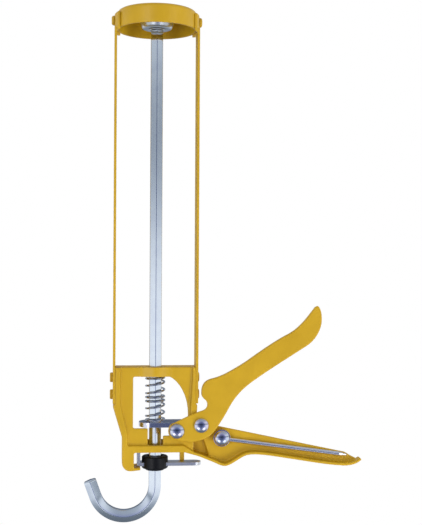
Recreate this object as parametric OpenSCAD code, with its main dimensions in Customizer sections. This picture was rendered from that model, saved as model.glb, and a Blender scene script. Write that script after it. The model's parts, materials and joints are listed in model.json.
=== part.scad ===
// Skeleton caulking gun for a 300 ml cartridge: a pressed frame and handle, two rails,
// a front cap, a hooked hexagonal push rod, a squeeze trigger and a release lever.
// Origin: on the push rod's axis, in the plane of the edges that the cartridge sits on.
// +X points to the handle, +Z along the rod towards the nozzle, -Y is the open face.

/* [Cradle] */
// Clear width between the two rails
cradle_w = 52.8; // [51:0.2:60]
// Length from the cartridge seat to the inside of the front cap
cradle_len = 234; // [222:1:260]
// Thickness of the rails
rail_t = 1.7; // [1.2:0.1:2.5]
// Width of the rails
rail_w = 16; // [12:0.5:18]
// Height of the step that the rails end on, below the seat
rail_drop = 24; // [22:0.5:30]
// Outside height of the front cap
cap_h = 12.6; // [10:0.2:18]
// Wall of the front cap
cap_t = 1.3; // [1:0.1:2]
// Corner radius of the front cap
cap_corner_r = 2.6; // [2.2:0.1:4]
// Radius of the hole that the cartridge's nozzle passes through
nozzle_hole_r = 11.5; // [9:0.1:14]
// Width of the rails' curved heads, round the front cap
rail_head_w = 22; // [19:0.5:26]

/* [Frame] */
// Thickness of the frame's sheet
sheet_t = 1.8; // [1.2:0.1:2.2]
// Depth of the frame, front to back
frame_d = 16.8; // [16:0.2:20]
// Height of the bar across the frame's top
bar_h = 6.3; // [5:0.1:8]
// Width of the tab that guides the rod under the bar
tab_w = 15; // [14:0.5:16]
// Height of the lower flange's underside, below the seat
flange_drop = 55.9; // [55.6:0.1:56.2]
// Height of the rim in front of the rod, over the lower flange
band_h = 4.6; // [4:0.1:5]
// Depth of the pressed panel behind the frame's front face
panel_sink = 2.2; // [2:0.1:2.4]
// Depth of the handle's floor behind the frame's front face
handle_sink = 5.4; // [4.5:0.1:6]
// Depth of the pocket beside the handle behind the frame's front face
pocket_sink = 8.9; // [7.5:0.1:11]
// Half width of the slot that bares the rod
slot_half = 4.9; // [4.8:0.1:6]
// Height of the lip turned up behind the rod
back_lip = 6.4; // [4:0.1:7]

/* [Push rod] */
// Width across the flats of the hexagonal rod
rod_af = 7.94; // [6:0.02:8.2]
// Gap on each flat between the rod and a hole that guides it
rod_gap = 0.2; // [0.1:0.05:0.4]
// Radius of the hook's bend, to the middle of the rod
hook_r = 20.2; // [16:0.2:24]
// Angle that the hook turns through
hook_turn = 160; // [120:1:175]
// Straight length after the hook's bend
hook_end = 11; // [4:0.5:16]
// Height where the hook's bend starts, below the seat
hook_drop = 78.5; // [76:0.5:90]
// Radius of the rod's threaded end
thread_r = 3; // [2:0.1:3.2]

/* [Piston] */
// Outer radius of the piston
piston_r = 20.5; // [18:0.1:23]
// Depth of the piston's pressed dish
dish_depth = 11.4; // [9:0.1:14]
// Radius of the dish at its bottom
dish_r = 9.2; // [8:0.1:10]
// Thickness of the piston's sheet
piston_t = 1.4; // [1:0.1:1.8]

/* [Drive] */
// Thickness of the plate that grips the rod
drive_t = 3.1; // [2.4:0.1:3.6]
// Width of the plate that grips the rod
drive_w = 16; // [13:0.5:16]
// Height of the drive plate's top face, below the seat
drive_drop = 36.4; // [34:0.1:37]
// Wire of the return springs
spring_wire = 1.3; // [1:0.1:1.5]
// Outer diameter of the return springs
spring_od = 13.4; // [12.6:0.1:13.6]

/* [Trigger] */
// Thickness of the trigger's sheet
trigger_t = 1.8; // [1.2:0.1:2.2]
// Depth of the trigger's flanges, front to back
finger_w = 4; // [3:0.1:4.1]
// Distance of the trigger's pivot from the rod's axis
pivot_x = 30; // [29.4:0.1:30.6]
// Height of the trigger's pivot below the seat
pivot_drop = 38; // [37.6:0.1:38.4]
// Distance of the drive pin from the rod's axis
pin_x = 14; // [13:0.1:14.6]
// Radius of the drive pin
pin_r = 2; // [1.6:0.1:2.4]
// Radius of the notch beside the rail
notch_r = 4; // [3:0.1:4.4]

/* [Rivets] */
// Head radius of the plated rivets
dome_r = 5.1; // [4.4:0.1:5.4]
// Head height of the plated rivets
dome_h = 3; // [2:0.1:3.4]
// Head radius of the painted rivets
button_r = 3.2; // [2.6:0.1:3.6]
// Head height of the painted rivets
button_h = 1.9; // [1.5:0.1:2.2]
// Head height of the painted rivets that the trigger passes
flat_h = 1.1; // [0.9:0.1:1.2]
// Shank radius of every rivet
shank_r = 2; // [1.5:0.1:2.2]

/* [Release lever and wire] */
// Thickness of the release lever
lever_t = 2.2; // [1.6:0.1:2.4]
// Height of the release lever's top face, below the seat
lever_drop = 63.1; // [62.6:0.1:63.4]
// Reach of the release lever to the right of the rod
lever_reach = 30.5; // [24:0.5:34]
// Outer radius of the rubber grommet
grommet_r = 8.7; // [7.6:0.1:9]
// Diameter of the seal puncturing wire
wire_d = 2.8; // [2.2:0.1:2.8]
// Length of the wire from its pivot
wire_len = 85; // [60:1:86]

/* [Hidden] */
$fn = 48;
yellow = "#d3a62c";
zinc = "#b9c2cc";

fit_gap = 0.1;                                // gap between parts that rub together
skin_gap = 0.05;                              // gap between parts that are riveted together
cradle_r = cradle_w / 2;
front_y = -frame_d / 2;
back_y = frame_d / 2;
cap_r = cradle_r - skin_gap;                  // outside of the cap, inside of the rail heads
cap_top_z = cradle_len + cap_t;
cap_rim_z = cap_top_z - cap_h;
cap_rivet_z = cap_rim_z + cap_h / 2 - 0.3;
rail_rivet_z = [-7.1, -18.3];
flange_z = -flange_drop;                      // underside of the lower flange
panel_low_z = flange_z + band_h;              // lower edge of the pressed panel
window_left = -14.6;
window_right = 21.4;
window_low_z = -40.1;                         // lower edge of the window, left of the rod
window_notch_z = -45.1;                       // and right of it, where the drive pin moves
leg_right = -14;
bar_half = 10;                                // half width of the raised middle of the bar
pivot = [pivot_x, -pivot_drop];
drive_z = -drive_drop - drive_t;              // underside of the drive plate
plate_left = -10.7;                           // its rounded end, left of the rod
pin = [pin_x, drive_z - fit_gap - pin_r];
wire_at = [44, -47];                          // pivot of the puncturing wire
wire_angle = -7.9;                            // its slope when it is stowed
wire_drop = 0.7;                              // its line passes this far under its pivot
panel_y = front_y + panel_sink;               // front face of the pressed panel
handle_y = front_y + handle_sink;             // front face of the handle's floor
pocket_y = front_y + pocket_sink;             // front face of the pocket's floor
spring_top_z = -bar_h;
spring_mid_z = (spring_top_z - drive_drop) / 2;
lever_z = -lever_drop - lever_t;              // underside of the release lever
lever_left = -11.9;                           // its turned up end, left of the rod
lip_z = lever_z - fit_gap;                    // top of the lip that the lever hooks over

// --- shapes shared by several parts ---

// Points of a cubic curve from a to d, without d itself
function curve(a, b, c, d, n = 10) = [for (i = [0:n - 1]) let (t = i / n, s = 1 - t)
    s * s * s * a + 3 * s * s * t * b + 3 * s * t * t * c + t * t * t * d];

// Points of an arc about c, from angle a0 to angle a1
function arc(c, r, a0, a1, n = 8) = [for (i = [0:n]) let (a = a0 + (a1 - a0) * i / n)
    c + r * [cos(a), sin(a)]];

function unit(v) = v / norm(v);
function left_of(v) = [-v[1], v[0]];
function reversed(p) = [for (i = [len(p) - 1:-1:0]) p[i]];

// The path p moved sideways by d, to its left when d is positive, with mitred corners
function beside(p, d) = [for (i = [0:len(p) - 1])
    let (last = len(p) - 1, before = unit(p[max(i, 1)] - p[max(i, 1) - 1]),
        after = unit(p[min(i, last - 1) + 1] - p[min(i, last - 1)]),
        n = left_of(before) + left_of(after))
    p[i] + n * (2 * d / (n * n))];

// A bent strip of sheet seen edge on: the path p, thickened by t to its left
module strip(p, t) {
    polygon(concat(p, reversed(beside(p, t))));
}

// An outline drawn in X and Z, standing from depth y0 to depth y1
module slab(y0, y1) {
    translate([0, y1, 0]) rotate([90, 0, 0]) linear_extrude(height = y1 - y0) children();
}

// A round bar or hole along Y
module across(at, r, y0, y1) {
    translate([at[0], y1, at[1]]) rotate([90, 0, 0]) cylinder(h = y1 - y0, r = r);
}

// A hexagon with two corners on the Y axis
module hexagon(af) {
    rotate(30) circle(d = af / cos(30), $fn = 6);
}

module hex_hole(z0, z1, gap) {
    translate([0, 0, z0]) linear_extrude(height = z1 - z0) hexagon(rod_af + 2 * gap);
}

// A rivet along +Z: a head above z = 0 with a rounded shoulder, a shank through the grip, and a
// formed tail below it. A shoulder as wide as the head makes a dome.
module rivet(head_r, head_h, shoulder, grip, tail_r, tail_h) {
    rise = min(shoulder, head_h);
    rotate_extrude()
        polygon(concat([[0, head_h]], [for (a = [80:-10:0])
            [head_r - shoulder + shoulder * cos(a), head_h - rise + rise * sin(a)]],
            head_h > rise ? [[head_r, 0]] : [], [[shank_r, 0], [shank_r, -grip]],
            tail_h > 0 ? [[tail_r, -grip], [tail_r * 0.7, -grip - tail_h]] : [],
            [[0, -grip - max(tail_h, 0)]]));
}

module rivet_in_y(at, y, head_r, head_h, grip, tail_r, tail_h) {
    translate([at[0], y, at[1]]) rotate([90, 0, 0])
        rivet(head_r, head_h, head_r, grip, tail_r, tail_h);
}

// --- rear frame ---

// Outside of the frame's left edge, from the seat down the leg and round its lip
left_path = concat([[-cradle_r, 0], [-cradle_r, -rail_drop], [-cradle_r - rail_t, -rail_drop - 1],
    [-21.9, -45.8]], arc([-16.3, lip_z + 3], 5.6, 180, 270, 6),
    [[-12, lip_z - sheet_t - 0.4], [-9.6, lip_z - sheet_t - 0.1]]);
// Outside of the frame's right edge, from the seat down to the pivot
right_path = [[cradle_r, 0], [cradle_r, -rail_drop], [cradle_r + rail_t * 0.7, -rail_drop - 1],
    [27.2, -30.4]];
// Underside of the lower flange, from the left to the handle's tip
flange_path = concat([[-21, flange_z], [19, flange_z], [28.7, -58.7]],
    curve([38.7, -62.8], [42, -64.3], [43.8, -65.5], [46.4, -65.3], 5),
    curve([46.4, -65.3], [50.8, -64.8], [55, -60.2], [60.3, -58.4]),
    curve([60.3, -58.4], [66, -56.7], [80, -59.5], [88.7, -60.9], 8),
    curve([88.7, -60.9], [100, -62.6], [112, -65.2], [124.5, -66], 8),
    curve([124.5, -66], [130, -66.4], [134.4, -65.4], [138, -62.3], 6), [[138, -62.3]]);
// Step from the front face back to the floors, below the window's right side and round the pivot
step_path = [[23, -34], [23, -44], [27, -47], [31, -46.8], [34.6, -44.7], [37, -41.6], [38.4, -38.6]];
// Steps from the panel down to the pocket, and from the handle's floor down to it
pocket_path = [[23.3, -44], [23.3, -56.5]];
divider_path = [[31.4, -46], [36.2, -60.8]];
// Step between the right rim and the panel
right_rim_path = [[24.3, 0], [24.3, -8], [23, -26], [23, -34]];

// Lines along the middle of the walls, where the flat plates end
left_mid = beside(left_path, sheet_t / 2);
right_mid = beside(right_path, -sheet_t / 2);
flange_mid = beside(flange_path, sheet_t / 2);
step_mid = beside(step_path, sheet_t / 2);
divider_mid = beside(divider_path, sheet_t / 2);
pocket_mid = pocket_path[0][0] + sheet_t / 2;
rim_mid = beside(right_rim_path, sheet_t / 2);

// The rim down the left side, the leg and the band over the lower flange
left_rim = concat([for (i = [0:len(left_path) - 3]) left_mid[i]],
    [[leg_right, left_mid[len(left_path) - 3][1]], [leg_right, flange_mid[1][1]], flange_mid[1],
    flange_mid[2], [18.5, panel_low_z], [-18.2, panel_low_z], [-18.2, -43.5], [-23.2, -24],
    [-23.2, 0]]);
// The rim down the right side, with the flat round the trigger's pivot
right_rim = concat(right_mid, arc(pivot + [-1.5, 2], 4.6, 105, 50, 5),
    [for (i = [len(step_path) - 1:-1:1]) step_mid[i]], reversed(rim_mid));
// The pressed panel, left and right of the rod, round the D shaped window
left_panel = concat([[-bar_half + sheet_t, 0], [-bar_half + sheet_t, -bar_h],
    [window_left, -bar_h], [window_left, window_low_z], [-slot_half, window_low_z],
    [-slot_half, panel_low_z - 1], [-21, panel_low_z - 1]], [for (i = [3:-1:0]) left_mid[i]]);
right_panel = concat([[bar_half - sheet_t, 0], [bar_half - sheet_t, -bar_h]],
    curve([9.2, -bar_h], [15, -9], [window_right, -18], [window_right, -31]),
    [[window_right, -31], [window_right, window_notch_z], [slot_half, window_notch_z],
    [slot_half, panel_low_z - 1], [17.5, panel_low_z - 1], flange_mid[1],
    [pocket_mid, -56.5], [pocket_mid, -45.5], step_mid[1]],
    reversed(rim_mid));
// The pocket's floor and the handle's floor
pocket_floor = [[pocket_mid, -45.5], step_mid[2], step_mid[3], divider_mid[1], flange_mid[2],
    [pocket_mid, -56.5]];
handle_floor = concat([divider_mid[1]], [for (i = [3:len(flange_path) - 3]) flange_mid[i]],
    [[134.6, -61.8], [131, -60], [127.6, -57.8], [41.2, -39.4], [39.4, -38.6]],
    [for (i = [len(step_path) - 1:-1:3]) step_mid[i]]);

module rear_frame() {
    color(yellow) difference() {
        union() {
            frame_rims();
            frame_walls();
            frame_floors();
            rod_guides();
        }
        hex_hole(-bar_h - 1, 1, rod_gap);
        hex_hole(flange_z - 1, flange_z + sheet_t + 1, rod_gap);
        across(pivot, shank_r + skin_gap, front_y - 1, front_y + sheet_t + 1);
        across(wire_at, shank_r + skin_gap, handle_y - 1, handle_y + sheet_t + 1);
        for (z = rail_rivet_z, side = [-1, 1])
            translate([side * cradle_r, 0, z]) rotate([0, 90, 0])
                cylinder(h = 2 * sheet_t + 1, r = shank_r + skin_gap, center = true);
    }
}

// What stands proud at the front: the rims, the leg and the raised middle of the bar
module frame_rims() {
    slab(front_y, panel_y + sheet_t / 2) polygon(left_rim);
    slab(front_y, front_y + sheet_t) polygon(right_rim);
    slab(front_y, panel_y + sheet_t) strip(right_rim_path, sheet_t);
    slab(front_y, front_y + sheet_t)
        translate([-bar_half, -bar_h]) square([2 * bar_half, bar_h]);
    for (x = [-bar_half, bar_half - sheet_t])
        slab(front_y, panel_y + sheet_t) translate([x, -bar_h]) square([sheet_t, bar_h]);
}

// Flanges along the two sides, the leg and its lip, the lower edge and the cartridge's seat
module frame_walls() {
    slab(front_y, back_y) strip(left_path, sheet_t);
    slab(front_y, back_y) strip(right_path, -sheet_t);
    slab(front_y, handle_y + sheet_t) strip(flange_path, sheet_t);
    slab(handle_y, back_y) strip([for (i = [0:3]) flange_path[i]], sheet_t);
    slab(back_y - sheet_t, back_y) translate([-21, flange_z]) square([40, back_lip]);
    translate([-cradle_r + sheet_t / 2, panel_y, -sheet_t])
        cube([cradle_w - sheet_t, back_y - panel_y, sheet_t]);
    translate([-bar_half, front_y, -sheet_t]) cube([2 * bar_half, frame_d / 2, sheet_t]);
}

// The pressed panel, the pocket, the handle's floor and the steps that join them
module frame_floors() {
    slab(panel_y, panel_y + sheet_t) polygon(left_panel);
    slab(panel_y, panel_y + sheet_t) polygon(right_panel);
    slab(pocket_y, pocket_y + sheet_t) polygon(pocket_floor);
    slab(handle_y, handle_y + sheet_t) polygon(handle_floor);
    slab(panel_y, pocket_y + sheet_t) strip(pocket_path, sheet_t);
    slab(handle_y, pocket_y + sheet_t) strip(divider_path, sheet_t);
    slab(front_y, handle_y + sheet_t) strip(step_path, sheet_t);
    slab(handle_y, pocket_y + sheet_t) strip([for (i = [1:3]) step_path[i]], sheet_t);
}

// The tab under the bar that guides the rod, and the stop above the release lever
module rod_guides() {
    translate([-tab_w / 2, front_y + sheet_t / 2, -bar_h])
        cube([tab_w, frame_d - sheet_t / 2, sheet_t]);
    translate([16.6, 0, -lever_drop + fit_gap])
        cube([3, arm_half, lever_drop - fit_gap + flange_z + sheet_t / 2]);
}

// --- cradle ---

module rail(side) {
    difference() {
        union() {
            translate([side > 0 ? cradle_r : -cradle_r - rail_t, -rail_w / 2, -rail_drop + fit_gap])
                cube([rail_t, rail_w, rail_drop + cap_rim_z + 1]);
            rail_head(side);
        }
        for (z = concat(rail_rivet_z, [cap_rivet_z]))
            translate([side * cradle_r, 0, z]) rotate([0, 90, 0])
                cylinder(h = 4 * rail_t + 1, r = shank_r + skin_gap, center = true);
    }
}

// The rail's end, curved round the front cap
module rail_head(side) {
    intersection() {
        translate([0, 0, cap_rim_z - 1.5]) difference() {
            cylinder(h = cap_h - cap_corner_r + 1.5, r = cradle_r + rail_t);
            translate([0, 0, -1]) cylinder(h = cap_h + 4, r = cradle_r);
        }
        translate([side > 0 ? 0 : -cradle_w, -rail_head_w / 2, 0])
            cube([cradle_w, rail_head_w, cap_top_z]);
    }
}

module left_rail() {
    color(yellow) rail(-1);
}

module right_rail() {
    color(yellow) rail(1);
}

// A drawn cup, open to the rear, with the hole for the nozzle
module front_cap() {
    color(yellow) difference() {
        rotate_extrude($fn = 96)
            polygon(concat([[cap_r, cap_rim_z]],
                arc([cap_r - cap_corner_r, cap_top_z - cap_corner_r], cap_corner_r, 0, 90),
                [[nozzle_hole_r, cap_top_z], [nozzle_hole_r, cradle_len]],
                arc([cap_r - cap_corner_r, cap_top_z - cap_corner_r], cap_corner_r - cap_t, 90, 0),
                [[cap_r - cap_t, cap_rim_z]]));
        translate([0, 0, cap_rivet_z]) rotate([0, 90, 0])
            cylinder(h = 2 * cap_r + 2, r = shank_r + skin_gap, center = true);
    }
}

// Button headed rivets, with their tails formed flush inside the cap
module cap_rivets() {
    color(yellow) for (side = [-1, 1])
        translate([side * (cradle_r + rail_t), 0, cap_rivet_z]) rotate([0, side * 90, 0])
            rivet(button_r, button_h, 1.4, rail_t + skin_gap + cap_t, 0, 0);
}

module rail_rivets() {
    color(yellow) for (side = [-1, 1], z = rail_rivet_z)
        translate([side * (cradle_r + rail_t), 0, z]) rotate([0, side * 90, 0])
            rivet(button_r, side < 0 ? button_h : flat_h, 0.8, rail_t + sheet_t, button_r * 0.85, 0.8);
}

// --- push rod ---

piston_z = cradle_len - 2 * fit_gap;          // front face of the piston
dish_z = piston_z - dish_depth - piston_t;    // rear face of the dish's bottom
washer_t = 1.1;
rod_top_z = dish_z - washer_t;                // shoulder that the washer seats on
nut_h = 4.8;

module hex_rod() {
    color(zinc) {
        translate([0, 0, -hook_drop]) linear_extrude(height = rod_top_z + hook_drop)
            hexagon(rod_af);
        translate([0, 0, rod_top_z]) cylinder(h = rod_af * 1.05, r = thread_r);
        translate([-hook_r, 0, -hook_drop]) rotate([-90, 0, 0]) {
            rotate_extrude(angle = hook_turn, $fn = 96) translate([hook_r, 0]) hexagon(rod_af);
            rotate([0, 0, hook_turn]) translate([hook_r, -1, 0]) rotate([-90, 0, 0])
                linear_extrude(height = hook_end + 1) hexagon(rod_af - 0.16);
        }
    }
}

// A pressed dish with a flat rim
module piston_disc() {
    cone_r = dish_r + 3.2;
    color(zinc) difference() {
        rotate_extrude($fn = 96)
            polygon([[0, dish_z], [dish_r - 1, dish_z], [dish_r, dish_z + 1],
                [cone_r, piston_z - piston_t - 1], [cone_r + 1, piston_z - piston_t],
                [piston_r, piston_z - piston_t], [piston_r, piston_z],
                [cone_r + 0.4, piston_z], [cone_r - 1, piston_z - 1.4],
                [dish_r - piston_t, dish_z + piston_t], [0, dish_z + piston_t]]);
        translate([0, 0, dish_z - 1]) cylinder(h = piston_t + 2, r = thread_r + skin_gap);
    }
}

module piston_washer() {
    color(zinc) translate([0, 0, rod_top_z]) difference() {
        cylinder(h = washer_t, r = dish_r - 2.4);
        translate([0, 0, -1]) cylinder(h = washer_t + 2, r = thread_r + skin_gap);
    }
}

module piston_nut() {
    color(zinc) translate([0, 0, dish_z + piston_t]) difference() {
        cylinder(h = nut_h, r = thread_r * 1.9, $fn = 6);
        translate([0, 0, -1]) cylinder(h = nut_h + 2, r = thread_r + skin_gap);
    }
}

// --- drive ---

// The plate that the trigger lifts: it tilts a little, grips the rod and carries it forward
module drive_plate() {
    color(zinc) difference() {
        translate([0, 0, drive_z]) linear_extrude(height = drive_t) union() {
            translate([plate_left + drive_w / 2, 0]) circle(d = drive_w);
            translate([plate_left + drive_w / 2, -drive_w / 2]) square([20, drive_w]);
            translate([10, -drive_w / 2 + 2]) square([9.5, drive_w - 4]);
            for (side = [-1, 1])
                translate([17.5 - 0.8, side * (drive_w / 2 - 2)]) circle(r = 2);
        }
        hex_hole(drive_z - 1, drive_z + drive_t + 1, rod_gap);
    }
}

// One return spring: closed end coils with open coils between them
module spring(z0, z1) {
    turns = 4;
    start = 105;                              // angle where the wire's lower end lies
    steps = 18;
    sides = 8;
    r = (spring_od - spring_wire) / 2;
    run = z1 - z0 - spring_wire;
    low = z0 + spring_wire / 2;
    // Height at turn u: level for most of the first and last turns, steep between
    function rise(u) = let (k = min(max((u - 0.85) / (turns - 1.7), 0), 1))
        spring_wire * 0.95 * (min(u, 0.85) + max(u - turns + 0.85, 0))
        + (run - spring_wire * 1.615) * k;
    rings = [for (i = [0:turns * steps]) let (a = start + 360 * i / steps, u = i / steps)
        for (j = [0:sides - 1]) let (b = 360 * j / sides, q = r + spring_wire / 2 * cos(b))
            [q * cos(a), q * sin(a), low + rise(u) + spring_wire / 2 * sin(b)]];
    last = turns * steps * sides;
    polyhedron(points = rings, faces = concat(
        [[for (j = [0:sides - 1]) j]],
        [for (i = [0:turns * steps - 1], j = [0:sides - 1])
            let (a = i * sides + j, b = i * sides + (j + 1) % sides)
            [a, a + sides, b + sides, b]],
        [[for (j = [sides - 1:-1:0]) last + j]]));
}

module upper_spring() {
    color(zinc) spring(spring_mid_z + fit_gap / 2, spring_top_z - fit_gap);
}

module lower_spring() {
    color(zinc) spring(-drive_drop + fit_gap, spring_mid_z - fit_gap / 2);
}

// --- trigger ---

trigger_y = front_y - fit_gap - trigger_t;    // front face of the trigger
notch_at = [29.9, -24.2];
// Finger side, from above the notch to the tip
finger_edge = concat(curve([30.2, -18.8], [29.5, -13.2], [30.9, -8.6], [37.5, -7.1]),
    curve([37.5, -7.1], [44, -5.2], [52.6, -0.2], [59.3, 4.1]),
    curve([59.3, 4.1], [66.2, 8.9], [76.5, 16.4], [86, 21.5]),
    curve([86, 21.5], [94.6, 25.6], [99, 31.4], [106, 40.7]),
    curve([106, 40.7], [107.8, 42.6], [110, 38.6], [110.1, 32.6]), [[110.1, 32.6]]);
// Palm side, from the tip to the drive pin
palm_edge = concat(curve([110.1, 32.6], [110.2, 25.8], [106.2, 18.9], [100.8, 15.1]),
    curve([100.8, 15.1], [90.5, 8.5], [79.6, 1.9], [70, -4.6]),
    curve([70, -4.6], [60.2, -11.2], [54.6, -15.2], [48.7, -25.3]),
    curve([48.7, -25.3], [46.6, -29.4], [44.2, -33.4], [40.4, -39.3]),
    curve([40.4, -39.3], [37, -44.8], [32, -48.2], [23.5, -48.8]), [[23.5, -48.8]]);
trigger_outline = concat(finger_edge, [for (i = [1:len(palm_edge) - 1]) palm_edge[i]],
    arc(pin, 5.8, 262, 118, 10),
    [[22.3, -31.3], [27.5, -29.2]], arc(notch_at, notch_r, -70, 62, 10));

// A pressed pan: flat cheek with a shallow flange on the finger side and on the palm side
module trigger() {
    color(yellow) difference() {
        union() {
            slab(trigger_y, trigger_y + trigger_t) polygon(trigger_outline);
            slab(trigger_y + trigger_t / 2, trigger_y + finger_w)
                strip([for (i = [0:40]) finger_edge[i]], -trigger_t);
            slab(trigger_y + trigger_t / 2, trigger_y + finger_w)
                strip([for (i = [2:30]) palm_edge[i]], -trigger_t);
        }
        across(pivot, shank_r + skin_gap, trigger_y - 1, front_y + 1);
        across(pin, shank_r + skin_gap, trigger_y - 1, front_y + 1);
    }
}

// Riveted through the cheek, with a shouldered pin that reaches under the drive plate
module drive_pin() {
    color(zinc) {
        rivet_in_y(pin, trigger_y, dome_r, dome_h, trigger_t, 0, 0);
        across(pin, max(pin_r, shank_r), trigger_y + trigger_t, drive_w / 2 - 3);
    }
}

module trigger_pivot() {
    color(zinc) rivet_in_y(pivot, trigger_y, dome_r, dome_h, trigger_t + fit_gap + sheet_t,
        dome_r * 0.75, 1.4);
}

// --- release lever ---

grommet_bore_r = rod_af / 2 / cos(30) + 0.6;
arm_half = 4.6;                               // half width of the lever's arms
eye_r = grommet_bore_r + 1.7;                 // outer radius of the lever's eye
eye_bore_r = grommet_bore_r + 0.7;            // hole that the grommet is clipped into

// A plate across the rod with its left end turned up, hooked between the flange and the lip
module release_lever() {
    color(zinc) difference() {
        union() {
            translate([0, 0, lever_z]) linear_extrude(height = lever_t) union() {
                circle(r = eye_r);
                translate([lever_left, -arm_half]) square([-lever_left, 2 * arm_half]);
                translate([0, -arm_half]) square([lever_reach - arm_half, 2 * arm_half]);
                translate([lever_reach - arm_half, 0]) circle(r = arm_half);
            }
            translate([lever_left, -arm_half, lever_z])
                cube([lever_t, 2 * arm_half, flange_z - fit_gap - lever_z]);
        }
        translate([0, 0, lever_z - 1]) cylinder(h = lever_t + 2, r = eye_bore_r);
    }
}

// A rubber spool clipped into the lever's eye: its skirt hides the eye and is slit for the arms
module brake_grommet() {
    top_z = lever_z + lever_t;
    color("#151515") difference() {
        rotate_extrude()
            polygon([[grommet_bore_r, lever_z - 3], [grommet_bore_r + 0.9, lever_z - 3],
                [grommet_bore_r + 1.3, lever_z - 1.9], [grommet_r - 0.6, lever_z - 1.9],
                [grommet_r, lever_z - 1.3], [grommet_r, top_z + 3.3], [grommet_r - 0.6, top_z + 3.9],
                [grommet_bore_r, top_z + 3.9]]);
        translate([0, 0, lever_z - skin_gap]) linear_extrude(height = lever_t + 2 * skin_gap)
            difference() {
                union() {
                    circle(r = eye_r + skin_gap);
                    square([4 * grommet_r, 2 * (arm_half + skin_gap)], center = true);
                }
                circle(r = eye_bore_r - skin_gap);
            }
    }
}

// --- puncturing wire ---

wire_y = handle_y - fit_gap - wire_d / 2;

// A straight spike with an eye bent round its pivot
module puncture_wire() {
    loop_r = shank_r + fit_gap + wire_d / 2;
    color(zinc) translate([wire_at[0], wire_y, wire_at[1]]) rotate([90, 0, 0]) {
        rotate_extrude() translate([loop_r, 0]) circle(d = wire_d);
        rotate([0, 0, wire_angle]) translate([loop_r, -wire_drop, 0]) rotate([0, 90, 0]) {
            cylinder(h = wire_len - loop_r - 5, d = wire_d);
            translate([0, 0, wire_len - loop_r - 5]) cylinder(h = 5, d1 = wire_d, d2 = wire_d * 0.35);
        }
    }
}

washer_y = wire_y - wire_d / 2 - fit_gap;

module wire_washer() {
    color(zinc) difference() {
        across(wire_at, dome_r + 0.5, washer_y - 0.7, washer_y);
        across(wire_at, shank_r + skin_gap, washer_y - 2, washer_y + 1);
    }
}

module wire_pivot() {
    color(zinc) rivet_in_y(wire_at, washer_y - 0.7, dome_r, dome_h,
        handle_y + sheet_t - washer_y + 0.7, dome_r * 0.75, 1.4);
}

rear_frame();
left_rail();
right_rail();
front_cap();
cap_rivets();
rail_rivets();
hex_rod();
piston_disc();
piston_washer();
piston_nut();
drive_plate();
upper_spring();
lower_spring();
trigger();
drive_pin();
trigger_pivot();
release_lever();
brake_grommet();
puncture_wire();
wire_pivot();
wire_washer();
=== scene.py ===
import json
import bmesh
import bpy
import numpy as np
from mathutils import Matrix, Vector

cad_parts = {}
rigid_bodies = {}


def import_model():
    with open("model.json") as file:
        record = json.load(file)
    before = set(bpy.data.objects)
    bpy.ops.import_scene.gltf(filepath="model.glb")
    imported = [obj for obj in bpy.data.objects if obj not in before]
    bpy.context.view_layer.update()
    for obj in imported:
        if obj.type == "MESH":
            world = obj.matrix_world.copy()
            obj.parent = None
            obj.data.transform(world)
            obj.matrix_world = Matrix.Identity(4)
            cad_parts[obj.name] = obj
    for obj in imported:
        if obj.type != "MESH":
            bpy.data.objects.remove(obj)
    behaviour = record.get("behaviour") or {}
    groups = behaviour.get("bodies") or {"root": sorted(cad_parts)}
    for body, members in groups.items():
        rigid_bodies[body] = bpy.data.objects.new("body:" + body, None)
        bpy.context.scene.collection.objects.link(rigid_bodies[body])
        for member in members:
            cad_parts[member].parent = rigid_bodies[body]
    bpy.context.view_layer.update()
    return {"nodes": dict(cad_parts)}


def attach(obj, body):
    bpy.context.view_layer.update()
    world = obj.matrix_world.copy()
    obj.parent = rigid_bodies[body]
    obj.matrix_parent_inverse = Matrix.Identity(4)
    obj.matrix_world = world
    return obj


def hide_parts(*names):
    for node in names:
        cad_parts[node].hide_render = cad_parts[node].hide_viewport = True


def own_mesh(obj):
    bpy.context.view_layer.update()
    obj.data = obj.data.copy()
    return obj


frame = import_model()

# --- camera ---
# A long lens at half the gun's height. It looks level at the open face, from a little left of the
# rod, and is rolled by a third of a degree.
camera_data = bpy.data.cameras.new("camera")
camera_data.lens = 70.35
camera_data.clip_start = 0.01
camera = bpy.data.objects.new("camera", camera_data)
bpy.context.collection.objects.link(camera)
camera_turn, camera_roll = np.radians(5.4), np.radians(0.3)
rod_ahead, rod_aside, camera_height = 0.681, -0.0366, 0.0691
forward = np.array([np.sin(camera_turn), np.cos(camera_turn), 0.0])
right = np.array([np.cos(camera_turn), -np.sin(camera_turn), 0.0])
camera_place = -rod_ahead * forward - rod_aside * right + np.array([0, 0, camera_height])
level_view = Matrix.Rotation(-camera_turn, 4, "Z") @ Matrix.Rotation(np.pi / 2, 4, "X")
camera.matrix_world = (Matrix.Translation(camera_place) @ level_view
                       @ Matrix.Rotation(camera_roll, 4, "Z"))
bpy.context.scene.camera = camera
bpy.context.scene.view_settings.view_transform = "Standard"


# --- studio ---
# A white room without a floor, so that the rod has room to be drawn back. Polished steel sees light
# from below, a grey wall just above the horizon, and the dark side of the room behind the viewer,
# which draws its dark lines.
def new_material(name):
    """An empty material and its node tree."""
    material = bpy.data.materials.new(name)
    material.use_nodes = True
    material.node_tree.nodes.clear()
    return material, material.node_tree


def add_node(tree, kind, inputs=None, **settings):
    """A node with its settings, and its inputs, by name or number, as values or sockets to link."""
    node = tree.nodes.new(kind)
    for key, value in settings.items():
        setattr(node, key, value)
    for key, value in (inputs or {}).items():
        if isinstance(value, bpy.types.NodeSocket):
            tree.links.new(value, node.inputs[key])
        else:
            node.inputs[key].default_value = value
    return node


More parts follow.
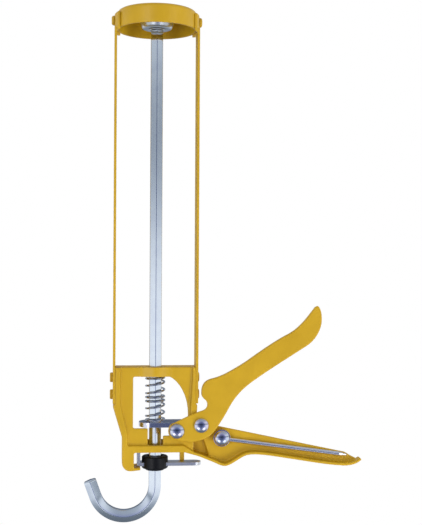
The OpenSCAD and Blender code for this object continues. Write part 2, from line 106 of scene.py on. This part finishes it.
def ramp(tree, value, stops):
    """A colour ramp: stops are (place, colour)."""
    node = add_node(tree, "ShaderNodeValToRGB", {"Fac": value})
    elements = node.color_ramp.elements
    elements[0].position, elements[0].color = stops[0]
    elements[1].position, elements[1].color = stops[-1]
    for place, colour in stops[1:-1]:
        elements.new(place).color = colour
    return node.outputs["Color"]


def joined(tree, how, first, second):
    """Two colours multiplied or added."""
    return add_node(tree, "ShaderNodeMix", {0: 1.0, 6: first, 7: second}, data_type="RGBA",
                    blend_type=how).outputs[2]


def cool(level):
    """A grey of the room, bluer the darker it is."""
    return (level * (0.80 + 0.14 * level), level * 0.98, level * (1.22 - 0.17 * level), 1)


white = (1, 1, 1, 1)
world = bpy.data.worlds.new("studio")
bpy.context.scene.world = world
world.use_nodes = True
tree = world.node_tree
tree.nodes.clear()
ways = add_node(tree, "ShaderNodeTexCoord").outputs["Generated"]
way = add_node(tree, "ShaderNodeSeparateXYZ", {"Vector": ways})

# The walls, from straight down (0) past the horizon (0.5) to straight up (1)
height = add_node(tree, "ShaderNodeMath", {0: way.outputs["Z"], 1: 0.5, 2: 0.5},
                  operation="MULTIPLY_ADD")
wall_levels = [(0.0, 0.17), (0.09, 0.22), (0.17, 0.42), (0.28, 0.86), (0.38, 0.98),
               (0.485, 0.98), (0.506, 0.84), (0.522, 0.62), (0.538, 0.42), (0.552, 0.33),
               (0.567, 0.30), (0.580, 0.34), (0.600, 0.55), (0.635, 0.85), (0.71, 0.80),
               (0.82, 0.48), (1.0, 0.36)]
walls = ramp(tree, height.outputs[0], [(place, cool(level)) for place, level in wall_levels])

# The dark ends of the room, behind the viewer and beyond the gun
backward = add_node(tree, "ShaderNodeMath", {0: way.outputs["Y"], 1: -1.0}, operation="MULTIPLY")
behind = ramp(tree, backward.outputs[0], [
    (0.0, white), (0.68, white), (0.78, (0.62, 0.62, 0.85, 1)), (0.90, (0.20, 0.24, 0.40, 1)),
    (1.0, (0.06, 0.08, 0.15, 1))])
beyond = ramp(tree, way.outputs["Y"], [
    (0.0, white), (0.80, white), (0.93, (0.30, 0.33, 0.38, 1)), (1.0, (0.22, 0.25, 0.30, 1))])
ends = joined(tree, "MULTIPLY", behind, beyond)
mirrored = joined(tree, "MULTIPLY", walls, ends)

# Two windows low in front, which put the glints in the domes of the rivets
for window in ((0.42, -0.71, -0.56), (-0.40, -0.74, -0.54)):
    near = add_node(tree, "ShaderNodeVectorMath", {0: ways, 1: window}, operation="DOT_PRODUCT")
    glint = add_node(tree, "ShaderNodeMapRange", {
        "Value": near.outputs["Value"], "From Min": 0.955, "From Max": 0.99, "To Max": 1.1},
        interpolation_type="SMOOTHSTEP")
    mirrored = joined(tree, "ADD", mirrored, glint.outputs[0])

# Mirrors see the room, all else gets a soft white light, and the viewer sees plain white
rays = add_node(tree, "ShaderNodeLightPath")
soft_light, room_light, ground_light = [
    add_node(tree, "ShaderNodeBackground", {"Color": colour, "Strength": strength}).outputs[0]
    for colour, strength in ((white, 0.50), (mirrored, 1.0), (white, 1.0))]
lit = add_node(tree, "ShaderNodeMixShader", {
    0: rays.outputs["Is Glossy Ray"], 1: soft_light, 2: room_light})
seen = add_node(tree, "ShaderNodeMixShader", {
    0: rays.outputs["Is Camera Ray"], 1: lit.outputs[0], 2: ground_light})
add_node(tree, "ShaderNodeOutputWorld", {"Surface": seen.outputs[0]})

polished = bpy.data.collections.new("polished")


def softbox(name, place, aim, size, power, sheen):
    """A rectangular area lamp at place that faces aim. With sheen, glossy surfaces mirror it, and
    it leaves out the pieces that the polished collection holds."""
    data = bpy.data.lights.new(name, "AREA")
    data.shape = "RECTANGLE"
    data.size, data.size_y = size
    data.energy = power
    lamp = bpy.data.objects.new(name, data)
    lamp.visible_glossy = sheen
    if sheen:
        lamp.light_linking.receiver_collection = polished
    turn = (Vector(aim) - Vector(place)).to_track_quat("-Z", "Y").to_matrix().to_4x4()
    lamp.matrix_world = Matrix.Translation(place) @ turn
    bpy.context.collection.objects.link(lamp)


middle = (0.02, 0, 0.06)
for name, place, size, power, sheen in (
        ("key_below", (0.62, -0.75, -0.62), (0.55, 0.55), 6.5, False),
        ("front_left", (-0.72, -1.25, 0.10), (0.30, 1.3), 6, True),
        ("front_right", (1.0, -1.0, 0.1), (0.25, 1.1), 2.5, True),
        ("left_side", (-1.3, 0.35, 0.2), (0.8, 1.0), 6, False),
        ("right_side", (1.3, 0.35, 0.2), (0.8, 1.0), 5, False),
        ("overhead", (0.1, 0.3, 1.3), (1.0, 1.0), 3, False),
        ("behind", (-0.2, 1.3, 0.3), (1.0, 1.2), 7, False)):
    softbox(name, place, middle, size, power, sheen)


# --- rear frame ---
# The body of the gun: one blank of 1.8 mm steel, pressed so that its rims stand proud of the
# panel and the handle is a deep channel, then stoved with yellow enamel.
def pressing(name, node, grid, passes, bend=None):
    """A copy of a CAD sheet with the soft edges of pressed steel: its skin is laid over a grid,
    bend moves its points as columns x, y and z, and then each point moves halfway to the mean of
    its neighbours, passes times."""
    mesh = frame["nodes"][node].data.copy()
    sheet = bmesh.new()
    sheet.from_mesh(mesh)
    bmesh.ops.remove_doubles(sheet, verts=sheet.verts, dist=2e-6)
    sheet.to_mesh(mesh)
    sheet.free()
    blank = bpy.data.objects.new(name, mesh)
    bpy.context.collection.objects.link(blank)
    skin = blank.modifiers.new("skin", "REMESH")
    skin.mode, skin.voxel_size, skin.use_smooth_shade = "VOXEL", grid, True
    bpy.context.view_layer.update()
    skinned = blank.evaluated_get(bpy.context.evaluated_depsgraph_get())
    pressed = bpy.data.meshes.new_from_object(skinned)
    bpy.data.objects.remove(blank)
    bpy.data.meshes.remove(mesh)
    pressed.name = name
    pressed.materials.clear()
    piece = bpy.data.objects.new(name, pressed)
    bpy.context.collection.objects.link(piece)
    if bend:
        points = np.empty(len(pressed.vertices) * 3, np.float32)
        pressed.vertices.foreach_get("co", points)
        moved = np.stack(bend(*points.reshape(-1, 3).T.astype(float)), 1)
        pressed.vertices.foreach_set("co", moved.astype(np.float32).ravel())
        pressed.update()
    ease = piece.modifiers.new("ease", "SMOOTH")
    ease.factor, ease.iterations = 0.5, passes
    return piece


def ease_in(value, start, end):
    """0 before start and 1 after end, with a smooth rise between: 3 t squared less 2 t cubed."""
    t = np.clip((value - start) / (end - start), 0, 1)
    return t * t * (3 - 2 * t)


def srgb(red, green, blue):
    """A colour given as it looks on screen, 0 to 255, as the linear values that Blender takes."""
    c = np.array([red, green, blue]) / 255.0
    linear = np.where(c <= 0.04045, c / 12.92, ((c + 0.055) / 1.055) ** 2.4)
    return (*linear, 1.0)


def object_noise(tree, scale, stretch=(1, 1, 1), detail=3.0, rough=0.55):
    """Noise in the object's own space, stretched along its axes."""
    place = add_node(tree, "ShaderNodeTexCoord").outputs["Object"]
    mapped = add_node(tree, "ShaderNodeMapping", {"Vector": place, "Scale": stretch})
    noise = add_node(tree, "ShaderNodeTexNoise", {"Vector": mapped.outputs[0], "Scale": scale,
                                                  "Detail": detail, "Roughness": rough})
    return noise.outputs["Fac"]


def between(tree, share, low, high):
    """A value that goes from low to high as share goes from 0 to 1."""
    return add_node(tree, "ShaderNodeMapRange", {"Value": share, "To Min": low,
                                                 "To Max": high}).outputs[0]


def surface(tree, look, edge, relief, strength, depth):
    """The output of a material: the shader's look by socket, its sharp edges rounded by the radius
    edge, and a fine relief on top."""
    rounding = add_node(tree, "ShaderNodeBevel", {"Radius": edge}, samples=6)
    bump = add_node(tree, "ShaderNodeBump", {"Height": relief, "Strength": strength,
                                             "Distance": depth, "Normal": rounding.outputs[0]})
    shader = add_node(tree, "ShaderNodeBsdfPrincipled", {**look, "Normal": bump.outputs[0]})
    add_node(tree, "ShaderNodeOutputMaterial", {"Surface": shader.outputs[0]})


def enamel(name, edge):
    """Yellow stoving enamel on pressed steel: a faint orange peel, and clouding in its colour. Its
    bends are rounded by the radius edge."""
    material, tree = new_material(name)
    cloud = object_noise(tree, 60, detail=4)
    colour = ramp(tree, cloud, [(0.3, srgb(193, 153, 20)), (0.7, srgb(204, 163, 26))])
    peel = object_noise(tree, 900, detail=2)
    gloss = between(tree, object_noise(tree, 140), 0.34, 0.46)
    look = {"Base Color": colour, "Roughness": gloss, "Specular IOR Level": 0.42}
    surface(tree, look, edge, peel, strength=0.05, depth=0.0002)
    return material


sheet_enamel = enamel("yellow_enamel", 0.0004)
front_y, sheet_thick, panel_sink = -0.0084, 0.0018, 0.0022
front_share, back_share = 0.9, 1.3
bar_half, bar_depth, side_spare, low_spare = 0.0100, 0.0063, 0.0005, 0.0006


def bow_the_bar(x, y, z):
    """The raised middle of the top bar is bowed forward: a full cosine from side to side, from the
    panel's face to the front face. The back of the sheet follows its front. A point is taken for
    the front or the back by how many thicknesses it lies behind the front face."""
    fall = panel_sink * (1 - np.cos(np.pi * np.clip(np.abs(x) / bar_half, 0, 1))) / 2
    on_bar = (np.abs(x) < bar_half + side_spare) & (z > -bar_depth - low_spare)
    skin_front = on_bar & (y < front_y + front_share * sheet_thick)
    skin_back = (on_bar & ~skin_front & (y < front_y + back_share * sheet_thick)
                 & (np.abs(x) < bar_half - sheet_thick))
    y = np.where(skin_front, np.maximum(y, front_y + fall), y)
    return x, np.where(skin_back, y + fall, y), z


frame_pressing = pressing("frame_pressing", "rear_frame", grid=0.00044, passes=12,
                          bend=bow_the_bar)
frame_pressing.data.materials.append(sheet_enamel)
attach(frame_pressing, "frame")
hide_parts("rear_frame")


# --- cradle ---
# Two rails of flat steel strip and a drawn cup that holds the cartridge's front, enamelled after
# their button headed rivets were set, so that paint bridges every joint.
def dress(material, *nodes):
    """Gives CAD nodes a material."""
    for name in nodes:
        for holder in frame["nodes"][name].material_slots:
            holder.material = material


for side in ("left", "right"):
    rail = pressing(f"{side}_strip", f"{side}_rail", grid=0.0004, passes=4)
    rail.data.materials.append(sheet_enamel)
    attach(rail, "frame")
    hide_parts(f"{side}_rail")
dress(enamel("yellow_enamel_on_cap", 0.0005), "front_cap", "cap_rivets", "rail_rivets")


# --- push rod ---
# Bright drawn hexagonal bar, 7.94 mm across its flats, with drawn corners. It is bent to a hook at
# the rear and turned down and threaded at the front.
def new_piece(name, points, faces, smooth=True):
    """An object from points and faces, with its place in its mesh."""
    mesh = bpy.data.meshes.new(name)
    mesh.from_pydata(points.tolist(), [], faces)
    mesh.polygons.foreach_set("use_smooth", np.full(len(mesh.polygons), smooth))
    piece = bpy.data.objects.new(name, mesh)
    bpy.context.collection.objects.link(piece)
    return piece


def skin_over(rings, around):
    """Faces between rings of around points each, closed at both ends by a flat face."""
    ring = np.arange(rings - 1)[:, None] * around
    here, after = np.arange(around), (np.arange(around) + 1) % around
    sides = np.stack([ring + here, ring + after, ring + around + after, ring + around + here], 2)
    last = (rings - 1) * around
    ends = [tuple(range(around - 1, -1, -1)), tuple(range(last, last + around))]
    return [tuple(face) for face in sides.reshape(-1, 4).tolist()] + ends


def carried(profile, places, across, up):
    """Points of a profile carried along a path: place + u times across + v times up, for each point
    (u, v) of the profile at each place."""
    return (places[:, None] + profile[None, :, :1] * across[:, None]
            + profile[None, :, 1:] * up[:, None]).reshape(-1, 3)


def in_hook_plane(x, z):
    """Points (x, 0, z) of the plane that the rod is bent in."""
    return np.stack(np.broadcast_arrays(x, 0.0, z), 1)


flats, drawn_corner, end_chamfer = 0.00794, 0.00055, 0.0005
hook_radius, hook_turn, hook_end = 0.0202, np.radians(160), 0.011
hook_start_z, shoulder_z = -0.0785, 0.2229

# The bar's outline: each corner is an arc, a sixth of a turn, about a point inside the corner
corner_way = np.radians(90 + 60 * np.arange(6))[:, None]
sweep = np.radians(np.linspace(-30, 30, 5))[None]
inner = (flats / 2 - drawn_corner) / np.cos(np.pi / 6)
bar_u = inner * np.cos(corner_way) + drawn_corner * np.cos(corner_way + sweep)
bar_v = inner * np.sin(corner_way) + drawn_corner * np.sin(corner_way + sweep)
bar_outline = np.stack([bar_u.ravel(), bar_v.ravel()], 1)

# Its middle line: down from the shoulder, round the hook and straight on
straight_z = np.linspace(shoulder_z, hook_start_z, 40)[:-1]
bend = np.linspace(0, hook_turn, 49)
tail = np.array([0.15, 0.4, 0.65, 0.9, 1.0]) * hook_end
end_way = np.array([-np.sin(hook_turn), 0, -np.cos(hook_turn)])
bent_line = in_hook_plane(-hook_radius + hook_radius * np.cos(bend),
                          hook_start_z - hook_radius * np.sin(bend))
line = np.concatenate([in_hook_plane(0.0, straight_z), bent_line,
                       bent_line[-1] + tail[:, None] * end_way])
turn = np.concatenate([0 * straight_z, bend, np.full(len(tail), hook_turn)])
outward = in_hook_plane(np.cos(turn), -np.sin(turn))

# A smaller ring at each end makes the chamfer
line = np.concatenate([line[:1], line[:1] - [0, 0, end_chamfer], line[1:-1],
                       line[-1:] - end_chamfer * end_way, line[-1:]])
outward = np.concatenate([outward[:1], outward, outward[-1:]])
sideways = np.tile([0.0, -1.0, 0.0], (len(line), 1))
girth = np.ones((len(line), 1))
girth[[0, -1]] = 1 - 2 * end_chamfer / flats
rod_points = carried(bar_outline, line, outward * girth, sideways * girth)
push_rod = new_piece("push_rod", rod_points, skin_over(len(line), len(bar_outline)))

metals = []


def metal(name, colour, roughness, grain_scale, scratches, edge, tint=None, grain=(1, 1, 1),
          polish=True):
    """Bare or plated steel: its roughness and fine scratches follow the grain, and its colour
    clouds towards tint. With polish, it is one of the metals that the lamps with a sheen leave
    out."""
    material, tree = new_material(name)
    grain_noise = object_noise(tree, grain_scale, grain, detail=4, rough=0.6)
    rough = between(tree, grain_noise, roughness * 0.75, roughness * 1.3)
    shade = ramp(tree, object_noise(tree, 160), [(0.35, colour), (0.65, tint or colour)])
    look = {"Base Color": shade, "Metallic": 1.0, "Roughness": rough}
    surface(tree, look, edge, grain_noise, strength=scratches, depth=0.0001)
    if polish:
        metals.append(material)
    return material


drawn_steel = metal("drawn_zinc", srgb(232, 238, 243), roughness=0.16, grain_scale=900,
                    scratches=0.04, edge=0.0001, tint=srgb(224, 230, 238), grain=(1, 1, 0.02))
push_rod.data.materials.append(drawn_steel)
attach(push_rod, "rod")
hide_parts("hex_rod")


def about_rod(radius, angle, z):
    """Points about the rod's axis: x = r cos a, y = r sin a."""
    return np.stack(np.broadcast_arrays(radius * np.cos(angle), radius * np.sin(angle), z), -1)


# The thread: radius falls from crest to root and rises again once a pitch, a helix round the axis
thread_radius, thread_end_z, thread_pitch, thread_cut = 0.0030, 0.2308, 0.0010, 0.0004
thread_sides, rings_a_pitch, run_out = 40, 8, 0.0003
thread_z = np.arange(shoulder_z, thread_end_z, thread_pitch / rings_a_pitch)[:, None]
angle = 2 * np.pi * np.arange(thread_sides) / thread_sides
phase = (thread_z / thread_pitch - angle / (2 * np.pi)) % 1
thread_depth = thread_cut * ease_in(thread_z, shoulder_z, shoulder_z + run_out)
radius = thread_radius - thread_depth * np.abs(2 * phase - 1)
rounded_end = np.array([[0.0001], [0.0003], [0.0005]])
radius[-len(rounded_end):] -= rounded_end
rod_thread = new_piece("rod_thread", about_rod(radius, angle, thread_z).reshape(-1, 3),
                       skin_over(len(thread_z), thread_sides))
rod_thread.data.materials.append(drawn_steel)
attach(rod_thread, "rod")


# --- piston ---
# A dished disc of pressed steel that pushes the cartridge's plug, held on the rod's threaded end
# between a washer and a nut.
def faces_about(steps, points):
    """Faces of a closed outline of so many points, carried once round in so many steps."""
    step = np.arange(steps)[:, None]
    step, next_step = step * points, (step + 1) % steps * points
    here, after = np.arange(points), (np.arange(points) + 1) % points
    quads = np.stack([step + here, next_step + here, next_step + after, step + after], 2)
    return [tuple(face) for face in quads.reshape(-1, 4).tolist()]


def turned(name, outline, steps):
    """A closed outline (radius, height) carried round the rod's axis."""
    angle = 2 * np.pi * np.arange(steps)[:, None] / steps
    radius, z = np.array(outline).T
    return new_piece(name, about_rod(radius, angle, z).reshape(-1, 3),
                     faces_about(steps, len(outline)))


def fillet(start, corner, end, steps=5):
    """Points that round a corner: a quadratic curve from start to end that leans on the corner."""
    t = np.linspace(0, 1, steps)[:, None]
    start, corner, end = np.array(start), np.array(corner), np.array(end)
    return ((1 - t) ** 2 * start + 2 * t * (1 - t) * corner + t ** 2 * end).tolist()


disc_front_z, disc_thick, disc_radius = 0.2338, 0.0014, 0.0205
dish_back_z, dish_radius, mouth_radius, bore_radius = 0.2235, 0.0098, 0.0128, 0.00305
disc_back_z, dish_floor_z = disc_front_z - disc_thick, dish_back_z + disc_thick
floor_inside, mouth_inside = dish_radius - disc_thick, mouth_radius - disc_thick
wall_slope = (mouth_radius - dish_radius) / (disc_back_z - dish_back_z)
floor_bend, mouth_bend, inner_floor_bend, inner_mouth_bend = 0.0016, 0.0010, 0.0010, 0.0018
rim_across, rim_along, mouth_flare = 0.0003, 0.0004, 0.0006
dish_outline = (
    [[bore_radius, dish_back_z]]
    + fillet([dish_radius - floor_bend, dish_back_z],
             [dish_radius, dish_back_z],
             [dish_radius + floor_bend * wall_slope, dish_back_z + floor_bend])
    + fillet([mouth_radius - mouth_bend * wall_slope, disc_back_z - mouth_bend],
             [mouth_radius, disc_back_z],
             [mouth_radius + mouth_bend, disc_back_z])
    + fillet([disc_radius - rim_across, disc_back_z],
             [disc_radius, disc_back_z],
             [disc_radius, disc_back_z + rim_along])
    + fillet([disc_radius, disc_front_z - rim_along],
             [disc_radius, disc_front_z],
             [disc_radius - rim_across, disc_front_z])
    + fillet([mouth_radius + mouth_flare, disc_front_z],
             [mouth_inside, disc_front_z],
             [mouth_inside - inner_mouth_bend * wall_slope, disc_front_z - inner_mouth_bend])
    + fillet([floor_inside + inner_floor_bend * wall_slope, dish_floor_z + inner_floor_bend],
             [floor_inside, dish_floor_z],
             [floor_inside - inner_floor_bend, dish_floor_z])
    + [[bore_radius, dish_floor_z]])
zinc_pressing = metal("zinc_pressing", srgb(206, 210, 212), roughness=0.3, grain_scale=300,
                      scratches=0.06, edge=0.0001)
piston_dish = turned("piston_dish", dish_outline, 96)
washer_radius, washer_edge, dish_gap = 0.0052, 0.0002, 0.0001
washer_front_z = dish_back_z - dish_gap
washer_outline = [[bore_radius, shoulder_z], [washer_radius - washer_edge, shoulder_z],
                  [washer_radius, shoulder_z + washer_edge], [washer_radius, washer_front_z],
                  [bore_radius, washer_front_z]]
rod_washer = turned("rod_washer", washer_outline, 64)
for piece, node in ((piston_dish, "piston_disc"), (rod_washer, "piston_washer")):
    piece.data.materials.append(zinc_pressing)
    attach(piece, "rod")
    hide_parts(node)

# The nut: a hexagon whose corners are turned down by a cone, cap height falling outwards
nut_flats, nut_high, nut_steps, cone_slope, face_share = 0.0099, 0.0048, 96, 0.55, 0.97
nut_face_radius = nut_flats / 2 * face_share
nut_angle = 2 * np.pi * np.arange(nut_steps) / nut_steps
nut_reach = nut_flats / 2 / np.cos((nut_angle + np.pi / 6) % (np.pi / 3) - np.pi / 6)
fall = cone_slope * np.clip(nut_reach - nut_flats / 2, 0, None)
nut_outline = ((bore_radius, 0), (nut_face_radius, 0), (nut_reach, fall),
               (nut_reach, nut_high - fall), (nut_face_radius, nut_high), (bore_radius, nut_high))
nut_points = np.stack([about_rod(reach, nut_angle, dish_floor_z + up)
                       for reach, up in nut_outline], 1).reshape(-1, 3)
rod_nut = new_piece("rod_nut", nut_points, faces_about(nut_steps, len(nut_outline)), smooth=False)
rod_nut.data.materials.append(zinc_pressing)
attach(rod_nut, "rod")
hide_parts("piston_nut")


# --- drive plate and springs ---
# A hard plate with a hexagonal hole that tilts, grips the rod and pushes it on, and two springs of
# 1.3 mm wire on the rod that send the plate back.
plate_colour, plate_tint = srgb(214, 220, 234), srgb(228, 220, 232)
bright_plate = metal("bright_plate", plate_colour, roughness=0.13, grain_scale=500,
                     scratches=0.04, edge=0.0004, tint=plate_tint)
plate_steel = metal("plate_steel", plate_colour, roughness=0.2, grain_scale=500,
                    scratches=0.04, edge=0.0006, tint=plate_tint, polish=False)
dress(plate_steel, "drive_plate")

wire_thick, spring_across, spring_start = 0.0013, 0.0134, np.radians(105)
spring_turns, closed_turns, closed_pitch = 4, 0.85, 0.95 * wire_thick
steps_a_turn, wire_sides, ground_girth = 40, 12, 0.6
spring_top_z, plate_top_z, rub_gap = -0.0063, -0.0364, 0.0001
spring_middle_z = (spring_top_z + plate_top_z) / 2


def return_spring(name, low_z, high_z):
    """A round wire carried along a helix whose first and last turns lie closed: the wire's height
    rises by closed_pitch a turn there, and evenly by the rest of the length between them. Its
    section is a circle square to the helix, and its ends are ground round."""
    wound = np.linspace(0, spring_turns, spring_turns * steps_a_turn + 1)
    middle_radius = (spring_across - wire_thick) / 2
    run = high_z - low_z - wire_thick
    closed = np.minimum(wound, closed_turns) + np.maximum(wound - spring_turns + closed_turns, 0)
    open_share = np.clip((wound - closed_turns) / (spring_turns - 2 * closed_turns), 0, 1)
    rise = closed_pitch * closed + (run - 2 * closed_turns * closed_pitch) * open_share
    way = spring_start + 2 * np.pi * wound
    line = about_rod(middle_radius, way, low_z + wire_thick / 2 + rise)
    along = np.gradient(line, axis=0)
    along /= np.linalg.norm(along, axis=1)[:, None]
    upward = np.cross(along, about_rod(1.0, way, 0.0))
    upward /= np.linalg.norm(upward, axis=1)[:, None]
    outward = np.cross(upward, along)
    girth = np.ones((len(line), 1))
    girth[[0, -1]] = ground_girth
    circle = np.linspace(0, 2 * np.pi, wire_sides, endpoint=False)
    section = wire_thick / 2 * np.stack([np.cos(circle), np.sin(circle)], 1)
    points = carried(section, line, outward * girth, upward * girth)
    return new_piece(name, points, skin_over(len(line), len(section)))


spring_steel = metal("spring_steel", srgb(176, 180, 188), roughness=0.18, grain_scale=700,
                     scratches=0.05, edge=0.0001)
for name, node, low_z, high_z in (
        ("upper_return_spring", "upper_spring",
         spring_middle_z + rub_gap / 2, spring_top_z - rub_gap),
        ("lower_return_spring", "lower_spring",
         plate_top_z + rub_gap, spring_middle_z - rub_gap / 2)):
    spring = return_spring(name, low_z, high_z)
    spring.data.materials.append(spring_steel)
    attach(spring, "frame")
    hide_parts(node)
    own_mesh(spring)


# --- trigger ---
# A lever of the same enamelled steel, pressed with a shallow flange along both edges. It turns on
# a domed rivet through the frame, and a second one carries the pin that lifts the drive plate.
grip_drop, cheek_end_x, grip_start_x = 0.0005, 0.032, 0.046


def settle_the_grip(x, y, z):
    """Past the pivot, the grip lies half a millimetre lower than the cheek: z less the drop times
    a smooth rise from 0 to 1."""
    return x, y, z - grip_drop * ease_in(x, cheek_end_x, grip_start_x)


trigger_pressing = pressing("trigger_pressing", "trigger", grid=0.0003, passes=15,
                            bend=settle_the_grip)
trigger_pressing.data.materials.append(sheet_enamel)
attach(trigger_pressing, "trigger")
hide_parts("trigger")
dress(bright_plate, "drive_pin", "trigger_pivot")


# --- release lever ---
# A flat lever of plated steel that hangs in the frame's foot by its turned up end. Pressing its
# free end tilts the black rubber spool on it, which lets the rod go.
lever_plate = metal("lever_plate", srgb(222, 224, 226), roughness=0.36, grain_scale=500,
                    scratches=0.04, edge=0.0004, polish=False)
dress(lever_plate, "release_lever")
rubber, tree = new_material("black_rubber")
surface(tree, {"Base Color": srgb(8, 8, 10), "Roughness": 0.42, "Specular IOR Level": 0.25},
        edge=0.0006, relief=object_noise(tree, 1500), strength=0.2, depth=0.0002)
dress(rubber, "brake_grommet")


# --- puncturing wire ---
# A plated steel spike that swings out of the handle to pierce the cartridge's seal. Its eye turns
# on a domed rivet over a washer.
galvanised_wire = metal("galvanised_wire", srgb(252, 250, 253), roughness=0.24, grain_scale=900,
                        scratches=0.04, edge=0.0002, grain=(0.05, 1, 1), polish=False)
dress(galvanised_wire, "puncture_wire")
dress(bright_plate, "wire_pivot", "wire_washer")


# --- polished metal ---
# The rod, the piston, the springs, the rivets' domes and the washers are bright enough to mirror
# the room. The lamps with a sheen leave them out, so that no lamp shows in them.
for piece in bpy.data.objects:
    if piece.type == "MESH" and any(holder.material in metals for holder in piece.material_slots):
        polished.objects.link(piece)
for entry in polished.collection_objects:
    entry.light_linking.link_state = "EXCLUDE"
